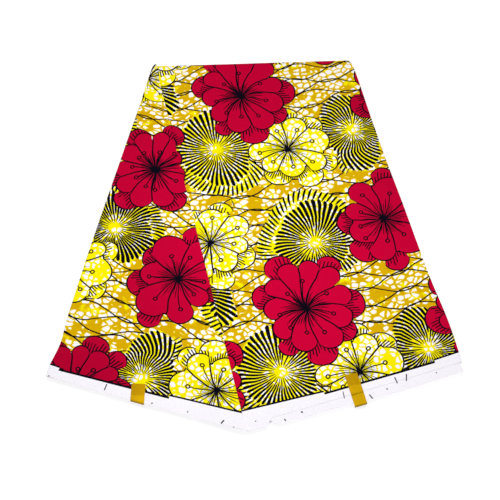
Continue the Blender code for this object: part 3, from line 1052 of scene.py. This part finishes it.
def make_right_panel(material):
    rows = top_fold(right_row(NOSE_SHARE))
    for step in range(1, PANEL_ROWS + 1):
        share = step / PANEL_ROWS
        fraction = NOSE_SHARE + (1 - NOSE_SHARE) * share
        row = []
        for point in right_row(fraction):
            flat = right_print(*point)
            height = top_of_pack(point.y) + relief(*point) - CLOTH / 2
            height -= (LAYER_ROOM - 0.06) * ease(fraction, 0.975, 0.995)
            row.append((Vector((*point, height)), flat, right_inward(flat)))
        lip = SMALL_LIP + (SIDE_LIP - SMALL_LIP) * ease(share, 0.03, 0.09)
        rows.append(with_right_edge(row, DOWN, lip))
    return cloth_sheet("right_front_cloth", rows, material)


print("the right panel starts", round(right_row(0.5)[0].x), "mm from the middle, half way down")

# %% [markdown]
# ## The left panel
# The left panel rides over the pleat and sinks to the level of the pack further left. Its folded edge at
# the pleat is soft: it rolls down over the last few millimetres before it turns under. The print was
# measured from a slanting view, in which raised cloth stands further back, and the map allows for that.

# %% Make the left panel
LEFT_COLUMNS = 80
PLEAT_REST = 16.0
PLEAT_FALL = 42.0
ROLL_WIDTH = 5.5
ROLL_DROP = 0.7
RISE_SHOWS = 0.62


def left_flat(x, y, rise):
    """Print coordinates of a raised point of the left panel, whose top end was drawn up when folded."""
    flat = left_print(x, y + RISE_SHOWS * rise)
    share = ease(-flat[1], 270.0, 350.0)
    return flat[0] + 8.0 * share, flat[1] - 32.0 * share


def left_turn(fraction):
    """Radius of the left panel's folded edges: tighter at the top fold, where the panel is narrow."""
    return min(TURN, 0.28 * left_width(fraction)) * (0.3 + 0.7 * ease(fraction, 0.0, 0.06))


def left_level(point, fraction):
    """Height of the middle of the left panel's cloth above the floor."""
    away = (point - POINT).dot(LEFT_OF_PLEAT)
    # at the pleat it needs room for its own turn, with a little air below
    raised = CLOTH + 0.15 + 2 * left_turn(fraction) + 0.6 * ease(fraction, 0.0, 0.06)
    share = ease(away - under_pleat(fraction) - PLEAT_REST, 0.0, PLEAT_FALL)
    roll = ROLL_DROP * max(0.0, 1 - away / ROLL_WIDTH) ** 2 if fraction > 0.04 else 0.0
    return top_of_pack(point.y) + relief(*point) + (raised - roll) * (1 - share) - CLOTH / 2


def left_cell(fraction, share):
    """A cell of the left panel, from its left side at share 0 to the pleat at share 1."""
    base = place_on(LEFT_SIDE, fraction).lerp(straight_on(PLEAT, fraction), share)
    front, ends = straight_on(LEFT_FRONT, share), (LEFT_SIDE[-1], POINT)
    point = pulled(base, front, ends, share, ease(fraction, 0.88, 1.0))
    height = left_level(point, fraction)
    flat = left_flat(point.x, point.y, height + CLOTH / 2 - top_of_pack(point.y))
    return Vector((*point, height)), flat, left_inward(flat)


def make_left_panel(material):
    rows = []
    shares = [0.006, 0.014, 0.024] + [0.03 + 0.97 * i / PANEL_ROWS for i in range(1, PANEL_ROWS + 1)]
    for fraction in shares:
        width, radius = left_width(fraction), left_turn(fraction)
        # the share of the width that each folded edge takes
        taken = min(0.45, (CLOTH / 2 + radius) / width)
        first, last = left_cell(fraction, 0.0), left_cell(fraction, 1.0)
        way = level_unit(first[0], last[0])
        side_lip = min(SIDE_LIP, 0.25 * width)
        pleat_lip = pleat_depth(fraction, 0.4 * width)
        side = folded_edge(first, left_cell(fraction, 0.02), -way, DOWN, side_lip, left_inward, radius)
        pleat = folded_edge(last, left_cell(fraction, 0.98), way, DOWN, pleat_lip, left_inward, radius)
        middle = [taken + (1 - 2 * taken) * i / LEFT_COLUMNS for i in range(1, LEFT_COLUMNS)]
        rows.append(side[::-1] + [left_cell(fraction, share) for share in middle] + pleat)
    return cloth_sheet("left_front_cloth", rows, material)


print("the left panel is", round(left_width(0.5)), "mm wide, half way down")

# %% [markdown]
# ## The layer under the right panel
# The cloth is folded a little out of line, so the selvedge of the second layer shows past that of the
# first as a second white step. Only that step is seen, so a coarser grid without folded sides will do.

# %% Make the second layer
UNDER_STEPS = 60
UNDER_INSET = SIDE_LIP + 5.0
UNDER_CORNER = Vector((-252.0, -214.0))
FRONT_STARTS = 0.55


def make_second_layer(material):
    rows = []
    drop = CLOTH + LAYER_ROOM
    for step in range(UNDER_STEPS + 1):
        share = step / UNDER_STEPS
        left = place_on(LEFT_SIDE, 0.03 + 0.91 * share) + Vector((UNDER_INSET, 2.0))
        right = place_on(RIGHT_SIDE, 0.03 + 0.97 * share)
        right.x -= UNDER_INSET * (1 - ease(share, 0.93, 0.99))
        # white near the front, where it shows, and printed further back
        inward = -5.0 + 400.0 * (1 - ease(share, FRONT_STARTS, 0.8))
        row = []
        for column in range(UNDER_STEPS + 1):
            across = column / UNDER_STEPS
            if across > 0.5:
                front = place_on(UNDER_FRONT, (across - 0.5) * 2)
            else:
                front = UNDER_CORNER.lerp(Vector(UNDER_FRONT[0]) + Vector((-2.0, 6.0)), across * 2)
            amount = ease(share, FRONT_STARTS, 1.0)
            point = pulled(left.lerp(right, across), front, (UNDER_CORNER, RIGHT_SIDE[-1]), across, amount)
            height = top_of_pack(point.y) + relief(*point) - drop - CLOTH / 2
            row.append((Vector((*point, height)), right_print(*point), inward))
        rows.append(row)
    return cloth_sheet("second_layer_cloth", rows, material)


print("the second layer lies", CLOTH + LAYER_ROOM, "mm lower")

# %% [markdown]
# ## The layers inside
# Between the front and the back lie sixteen more layers: eight leaves, one inside the other, each going
# round the top fold. This is a shape that repeats by a rule, so Geometry Nodes make it. We model the
# outermost leaf once and store on each point where it would be on the innermost one.

# %% One leaf, with its innermost position as an attribute
INNER_SIDE = 2.4
INNER_BACKSET = 6.0
INNER_ROWS = 34
INNER_COLUMNS = 40
INNER_TURN_STEPS = 10
INNER_FLOOR = CLOTH + 0.45
LEAF_STARTS = 0.015
# TOP_ROOM: how far the leaves stay clear of the top fold
# CORE: half the depth and half the height of the turn of the innermost leaf
TOP_ROOM = 3.2
CORE = Vector((0.0, 0.3, 0.35))


def inner_plan(left, right, share, across, shift=0.0):
    """A point between the sides of a layer, drawn to the front of the pack in the lower part."""
    front = straight_on(INNER_FRONT, across) + Vector((0.0, shift))
    amount = ease(share, FRONT_STARTS, 1.0)
    return pulled(left.lerp(right, across), front, INNER_FRONT, across, amount)


def leaf_plan(share, across):
    """Where a point of an inner layer lies in plan, a share of the way to the front."""
    fraction = LEAF_STARTS + (1 - LEAF_STARTS) * share
    left, right = [place_on(side, fraction) for side in (LEFT_SIDE, RIGHT_SIDE)]
    inset = (right - left).normalized() * INNER_SIDE
    point = inner_plan(left + inset, right - inset, share, across)
    return point + Vector((0.0, INNER_BACKSET * ease(share, 0.9, 1.0)))


def make_leaf():
    """The outermost leaf: its lower layer, its turn at the top fold and its upper layer."""
    leaf = bmesh.new()
    core, sideways, forward = [
        leaf.verts.layers.float_vector.new(name) for name in ("core", "sideways", "forward")
    ]
    quarter = math.pi / 2
    stops = [(1 - i / INNER_ROWS, -quarter) for i in range(INNER_ROWS)]
    stops += [(0.0, -quarter + math.pi * i / INNER_TURN_STEPS) for i in range(INNER_TURN_STEPS + 1)]
    stops += [((i + 1) / INNER_ROWS, quarter) for i in range(INNER_ROWS)]
    rows = []
    for share, angle in stops:
        row = []
        for column in range(INNER_COLUMNS + 1):
            across = column / INNER_COLUMNS
            plan = leaf_plan(share, across)
            roof = top_of_pack(plan.y) - 2 * CLOTH - 2 * LAYER_ROOM - 0.75
            back = TOP_ROOM * (1 - ease(share, 0.0, 0.1))
            middle = Vector((plan.x, plan.y - back, (INNER_FLOOR + roof) / 2))
            out = Vector((0.0, math.cos(angle), math.sin(angle)))
            vert = leaf.verts.new((middle + out * (roof - INNER_FLOOR) / 2) * MM)
            vert[core] = (middle + CORE * out) * MM
            weight = max(0.0, 1 - min(across, 1 - across) * INNER_COLUMNS / 4)
            vert[sideways] = Vector((math.copysign(weight, across - 0.5), 0.0, 0.0))
            vert[forward] = Vector((0.0, -ease(share, 0.9, 1.0), 0.0))
            row.append(vert)
        rows.append(row)
    for low, high in zip(rows, rows[1:]):
        for corners in zip(low, low[1:], high[1:], high):
            leaf.faces.new(corners)
    bmesh.ops.recalc_face_normals(leaf, faces=leaf.faces)
    mesh = bpy.data.meshes.new("one leaf")
    leaf.to_mesh(mesh)
    leaf.free()
    return mesh


print("one leaf has", (2 * INNER_ROWS + INNER_TURN_STEPS + 1) * (INNER_COLUMNS + 1), "points")

# %% [markdown]
# ## Nest the leaves
# The tree copies the leaf, slides each copy between its outermost and innermost place, and shifts its
# sides and front a little with a seeded random number. Near the sides two neighbouring layers close up,
# as they do at a fold. The result is kept as a plain mesh.

# %% The tree that nests the leaves
NEST_INPUTS = [
    ("Leaf", "NodeSocketGeometry", None),
    ("Leaves", "NodeSocketInt", 8),
    ("Side Play", "NodeSocketFloat", 0.0016),
    ("Front Play", "NodeSocketFloat", 0.0025),
    ("Fold Pinch", "NodeSocketFloat", 0.7),
    ("Seed", "NodeSocketInt", 11),
    ("Cloth", "NodeSocketMaterial", None),
]
INNER_CLOTH = 0.28


def nesting_tree():
    tree = bpy.data.node_groups.new("nest leaves", "GeometryNodeTree")
    for name, kind, value in NEST_INPUTS:
        socket = tree.interface.new_socket(name, in_out="INPUT", socket_type=kind)
        if value is not None:
            socket.default_value = value
    tree.interface.new_socket("Layers", in_out="OUTPUT", socket_type="NodeSocketGeometry")
    new = Wire(tree)
    start = new.add("NodeGroupInput")
    given = {name: start.other(i) for i, (name, _, _) in enumerate(NEST_INPUTS)}
    # one point for each leaf, with its number on it, and then a leaf on each point
    count = new.add("GeometryNodeInputIndex") + 0.0
    points = new.add("GeometryNodePoints", {}, Count=given["Leaves"])
    store = {"data_type": "FLOAT", "domain": "POINT"}
    points = new.add("GeometryNodeStoreNamedAttribute", store, Geometry=points, Name="number", Value=count)
    layers = new.add("GeometryNodeInstanceOnPoints", {}, Points=points, Instance=given["Leaf"])
    layers = new.add("GeometryNodeRealizeInstances", {}, Geometry=layers)

    def named(name, kind="FLOAT_VECTOR"):
        return new.add("GeometryNodeInputNamedAttribute", {"data_type": kind}, Name=name)

    def dice(reach, offset):
        """A random number for each layer and side, between plus and minus a reach."""
        side = new.add("ShaderNodeSeparateXYZ", {}, Vector=sideways) > 0.0
        roll = new.add("FunctionNodeRandomValue", {"data_type": "FLOAT"}, output=1, i2=-1.0, i3=1.0,
                       ID=number * 2.0 + side + offset, Seed=given["Seed"])
        return roll * reach

    number, sideways = named("number", "FLOAT"), named("sideways")
    weight = sideways.vectors("LENGTH", output=1)
    pair = ((number / 2.0).maths("FLOOR") * 2.0 + 1.0) / given["Leaves"]
    own = (number + 0.5) / given["Leaves"]
    depth = own + (pair - own) * weight * weight * given["Fold Pinch"]
    place = new.add("GeometryNodeInputPosition")
    place = new.add("ShaderNodeMix", {"data_type": "VECTOR"}, output=1, i0=depth, i4=place, i5=named("core"))
    for way, play, offset in ((sideways, "Side Play", 0.0), (named("forward"), "Front Play", 50.0)):
        throw = dice(given[play], offset)
        shift = new.add("ShaderNodeVectorMath", {"operation": "SCALE"}, i0=way, Scale=throw)
        place = place.vectors("ADD", shift)
    layers = new.add("GeometryNodeSetPosition", {}, Geometry=layers, Position=place)
    layers = new.add("GeometryNodeRealizeInstances", {}, Geometry=layers)
    layers = new.add("GeometryNodeSetMaterial", {}, Geometry=layers, Material=given["Cloth"])
    layers.into(tree.nodes.new("NodeGroupOutput"), 0)
    return tree


def make_inner_layers(material, settings):
    """Run the tree on the one leaf and keep the result as a plain mesh with a thin wall."""
    leaf = bpy.data.objects.new("leaf", make_leaf())
    scene.collection.objects.link(leaf)
    nest = leaf.modifiers.new("nest", "NODES")
    nest.node_group = nesting_tree()
    for item in nest.node_group.interface.items_tree:
        if item.in_out == "INPUT" and item.name in settings:
            nest[item.identifier] = settings[item.name]
        if item.name == "Cloth":
            nest[item.identifier] = material
    layers = bpy.data.objects.new("inner_layers", applied(leaf, nest))
    bpy.data.objects.remove(leaf, do_unlink=True)
    scene.collection.objects.link(layers)
    print("inner layers:", len(layers.data.polygons), "faces before the wall")
    return with_wall(layers, INNER_CLOTH)


print("the tree's inputs:", *[name for name, _, _ in NEST_INPUTS])

# %% [markdown]
# ## The back of the cloth
# The back lies flat on the table under the whole pack, and ends where the flap of the top fold begins. It
# is hardly ever seen, so it is a plain grid on the outline of the inner layers.

# %% Make the back
BACK_STEPS = 40
BACK_STARTS = 0.055
BACK_INSET = Vector((1.5, 0.0))
BACK_SETBACK = 4.0


def make_back(material):
    rows = []
    for step in range(BACK_STEPS + 1):
        share = step / BACK_STEPS
        fraction = BACK_STARTS + (1 - BACK_STARTS) * share
        left = place_on(LEFT_SIDE, fraction) + BACK_INSET
        right = place_on(RIGHT_SIDE, fraction) - BACK_INSET
        row = []
        for column in range(BACK_STEPS + 1):
            point = inner_plan(left, right, share, column / BACK_STEPS, BACK_SETBACK)
            flat = right_print(*point)
            row.append((Vector((*point, CLOTH / 2)), flat, right_inward(flat) + BACK_SETBACK))
        rows.append(row)
    return cloth_sheet("back_cloth", rows, material)


print("the back has", (BACK_STEPS + 1) ** 2, "points")

# %% [markdown]
# ## Foil labels
# Each label is a strip of gold foil over the selvedge. It follows the layers below it and bends down over
# the front of the pack. The right one steps down where the first layer ends; a tiny crease shows there.

# %% Make the labels
# start: the middle of the inner end; heading: in degrees; edge: two points of the cloth's front edge
FOIL = 0.22
FOIL_LIFT = FOIL / 2 + 0.12
FOIL_COLUMNS = 8
FOIL_ROWS = 40
FOIL_TURN_ROWS = 5
FOIL_HANG_ROWS = 3
FOIL_TURN = 0.9
FOIL_HANG = 2.6
NEAR_FRONT = 0.94
LABELS = {
    "left_foil": {
        "start": (-154.1, -241.9), "heading": -92.2, "width": 18.5,
        "edge": [(-203.3, -253.8), (-124.8, -277.4)],
    },
    "right_foil": {
        "start": (127.7, -227.1), "heading": -75.2, "width": 17.3,
        "edge": [(126.5, -276.0), (191.5, -255.5)],
    },
}


def reach_of_edge(point, along, edge):
    """Distance from a point, in a direction, to a straight edge."""
    side = Vector(edge[1]) - Vector(edge[0])
    normal = Vector((-side.y, side.x)).normalized()
    return (Vector(edge[0]) - point).dot(normal) / along.dot(normal)


def label_way(name):
    """The direction in which a label runs, seen from above."""
    heading = math.radians(LABELS[name]["heading"])
    return Vector((math.cos(heading), math.sin(heading)))


def make_label(name, height_at, material):
    size = LABELS[name]
    along = label_way(name)
    across = Vector((-along.y, along.x))
    rows = []
    for step in range(FOIL_ROWS + FOIL_TURN_ROWS + FOIL_HANG_ROWS + 1):
        row = []
        past = max(0, step - FOIL_ROWS)
        turn = min(past, FOIL_TURN_ROWS) / FOIL_TURN_ROWS * math.pi / 2
        hang = max(0, past - FOIL_TURN_ROWS) / FOIL_HANG_ROWS * FOIL_HANG
        for column in range(FOIL_COLUMNS + 1):
            aside = (column / FOIL_COLUMNS - 0.5) * size["width"]
            start = Vector(size["start"]) - across * aside
            # it turns down just before the edge
            reach = reach_of_edge(start, along, size["edge"]) - 0.25
            run = reach * min(step, FOIL_ROWS) / FOIL_ROWS
            point = start + along * run
            height = height_at(point) + FOIL_LIFT - FOIL_TURN * (1 - math.cos(turn)) - hang
            place = Vector((*(point + along * FOIL_TURN * math.sin(turn)), height))
            row.append((place, (aside, run + turn * FOIL_TURN + hang)))
        rows.append(row)
    return grid_sheet(name, ("foil",), rows, material, FOIL)


def over_left(point):
    """Top of the left panel, near its front."""
    return left_level(point, NEAR_FRONT) + CLOTH / 2


def over_right(point):
    """Top of the first layer, and past its edge the top of the second."""
    past = reach_of_edge(point, label_way("right_foil"), RIGHT_FRONT[3:])
    step = CLOTH + LAYER_ROOM
    return top_of_pack(point.y) + relief(*point) - step * ease(0.5 - past, 0.0, 3.0)


print("labels:", *LABELS)

# %% [markdown]
# ## Other finishes
# The foil is a smooth gold film, so it is metallic with a fine crinkle, and a little lighter above the
# step. The inner layers show only as thin edges, so their print is plain patches of the same dyes, read
# from the object's own coordinates, with white at the front.

# %% Foil and inner cloth
FOIL_STEP = 17.0
FRONT_SLOPE = 0.318
WHITE_BAND = 24.0


def foil_finish():
    made, shader, base = new_material("gold foil", roughness=0.5, shine=0.1)
    place = base.add("ShaderNodeUVMap", {"uv_map": "foil"})
    run = place.in_mm()[1]
    cloud = place.noise(90.0, Detail=3.0)
    upper = (run - FOIL_STEP).within(0.0, 1.0)
    colour = (cloud * 0.5).mixed(ink(138, 102, 0), ink(164, 130, 0))
    colour = (1.0 - upper).mixed(colour, (cloud * 0.6).mixed(ink(150, 114, 0), ink(176, 142, 2)))
    colour.into(shader, "Base Color")
    (0.38 + cloud * 0.12).into(shader, "Roughness")
    place.noise(260.0, Detail=4.0, Roughness=0.6).bump(shader, strength=0.25, distance=0.0006)
    shader.inputs["Metallic"].default_value = 0.85
    return made


def inner_finish():
    made, shader, base = new_material("inner printed cotton", roughness=0.85, shine=0.2)
    place = base.add("ShaderNodeTexCoord", {}, output=3)
    layered = place.vectors("MULTIPLY", (1.0, 1.0, 60.0))
    patches = layered.noise(11.0, space="3D", Detail=1.0)
    fine = layered.noise(110.0, space="3D", Detail=1.0)
    colour = (fine > 0.56).mixed(MUSTARD, COTTON)
    colour = (patches > 0.5).mixed(colour, (fine > 0.55).mixed(YELLOW, OUTLINE))
    colour = (patches > 0.57).mixed(colour, CRIMSON)
    x, y = place.in_mm()
    edge = POINT.y + abs(x - POINT.x) * FRONT_SLOPE
    (y - edge).within(WHITE_BAND, 1.0).mixed(colour, COTTON).into(shader, "Base Color")
    fine.bump(shader, strength=0.2, distance=0.0005)
    return made


foil = foil_finish()
inner_cotton = inner_finish()
print("finishes:", foil.name, "and", inner_cotton.name)

# %% [markdown]
# ## Put the cloth together
# The ticks are measured on the flat print, so that the same list serves the sheet and the layer under it.

# %% Make every piece
# ticks: where one starts, along and across, how far it runs, and half its width
RIGHT_TICKS = [
    (52.6, -273.9, -0.6, -9.2, 0.55), (125.2, -270.0, 1.0, -8.2, 0.75), (141.6, -269.2, -2.6, -8.6, 0.75),
    (-70.0, -288.3, 0.1, 0.1, 0.8), (-32.3, -294.0, 0.7, -2.4, 0.75), (-7.9, -289.0, 0.4, -1.2, 1.0),
    (85.6, -286.6, 2.6, -6.4, 0.85), (93.6, -293.6, 0.5, -1.6, 0.9), (110.4, -283.2, 0.3, -0.6, 0.9),
    (181.2, -276.2, 0.3, 0.3, 0.7),
]
LEFT_TICKS = [
    (223.6, 160.0, 0.1, 8.4, 0.75), (301.3, 169.6, 0.4, 0.1, 0.85), (157.0, 169.2, 0.4, 0.2, 0.95),
    (108.2, 168.0, 0.1, 0.1, 0.95), (59.2, 166.4, 1.8, 4.4, 0.95), (43.9, 172.0, 0.4, 0.2, 0.95),
]
# step: between which two places along the edge the print stops short, and by how much
right_cotton = printed_cotton(
    "printed cotton, right", RIGHT_TICKS, step=(28.0, 184.0, 3.4), slips=RIGHT_SLIPS, slips_end=-20.0
)
left_cotton = printed_cotton(
    "printed cotton, left", LEFT_TICKS, step=(138.0, 292.0, 3.8), slips=LEFT_SLIPS, slips_end=FAR
)

pieces = {
    "right_panel": make_right_panel(right_cotton),
    "left_panel": make_left_panel(left_cotton),
    "second_layer": make_second_layer(right_cotton),
    "back_sheet": make_back(right_cotton),
    "hidden_folds": make_inner_layers(inner_cotton, {"Leaves": 8, "Seed": 11}),
    "left_label": make_label("left_foil", over_left, foil),
    "right_label": make_label("right_foil", over_right, foil),
}
for node, piece in pieces.items():
    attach(piece, "root")
    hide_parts(node)

# All of them are stretches of one cloth, 5.49 m long and 1.17 m wide. A closed wall has two faces, so
# its cloth is half its area.

for name, piece in pieces.items():
    print(name, "area, m2:", round(sum(face.area for face in piece.data.polygons) / 2, 4))

# %% [markdown]
# ## Floor and light
# The photograph is a cut-out on white in flat, even light. A pale floor, a bright world and two soft
# lights give that, with only a faint shadow where the cloth meets the floor.

# %% Stage
WHITE = (1.0, 1.0, 1.0, 1.0)


def floor_finish():
    made, shader, _ = new_material("pale floor", roughness=0.9, shine=0.1)
    shader.inputs["Base Color"].default_value = (0.55, 0.55, 0.55, 1.0)
    shader.inputs["Emission Color"].default_value = WHITE
    shader.inputs["Emission Strength"].default_value = 0.62
    return made


def soft_light(name, place, aim, size, power):
    lamp = bpy.data.lights.new(name, "AREA")
    lamp.shape = "DISK"
    lamp.size = size
    lamp.energy = power
    made = bpy.data.objects.new(name, lamp)
    made.location = place
    made.rotation_euler = (Vector(aim) - Vector(place)).to_track_quat("-Z", "Y").to_euler()
    scene.collection.objects.link(made)


ground = bmesh.new()
bmesh.ops.create_grid(ground, x_segments=1, y_segments=1, size=8.0)
for vert in ground.verts:
    vert.co.z = -0.0002
floor = mesh_object("floor", ground, floor_finish())
soft_light("key light", place=(-0.03, -0.01, 0.75), aim=(0.0, -0.01, 0.0), size=0.6, power=4.3)
soft_light("fill light", place=(0.9, -1.6, 2.2), aim=(0.0, 0.0, 0.0), size=2.0, power=4.5)
world = bpy.data.worlds.new("studio")
world.use_nodes = True
world.node_tree.nodes["Background"].inputs["Color"].default_value = WHITE
world.node_tree.nodes["Background"].inputs["Strength"].default_value = 0.45
scene.world = world
scene.view_settings.view_transform = "Standard"
print("lights:", *bpy.data.lights.keys())

# %% [markdown]
# ## Camera
# The camera stands where the photographer stood: in front of the cloth, looking down at 57 degrees
# through a long lens. The print's equal steps down the cloth gave that angle.

# %% Camera
ELEVATION = math.radians(57.13)
DISTANCE = 2.144
TARGET = Vector((-6.5, -31.75, 11.24)) * MM
lens = bpy.data.cameras.new("camera")
lens.lens = 110.3
lens.sensor_width = 36.0
camera = bpy.data.objects.new("camera", lens)
camera.location = TARGET + Vector((0.0, -math.cos(ELEVATION), math.sin(ELEVATION))) * DISTANCE
camera.rotation_euler = (math.pi / 2 - ELEVATION, 0.0, 0.0)
scene.collection.objects.link(camera)
scene.camera = camera
print("camera height:", round(camera.location.z, 2), "m")
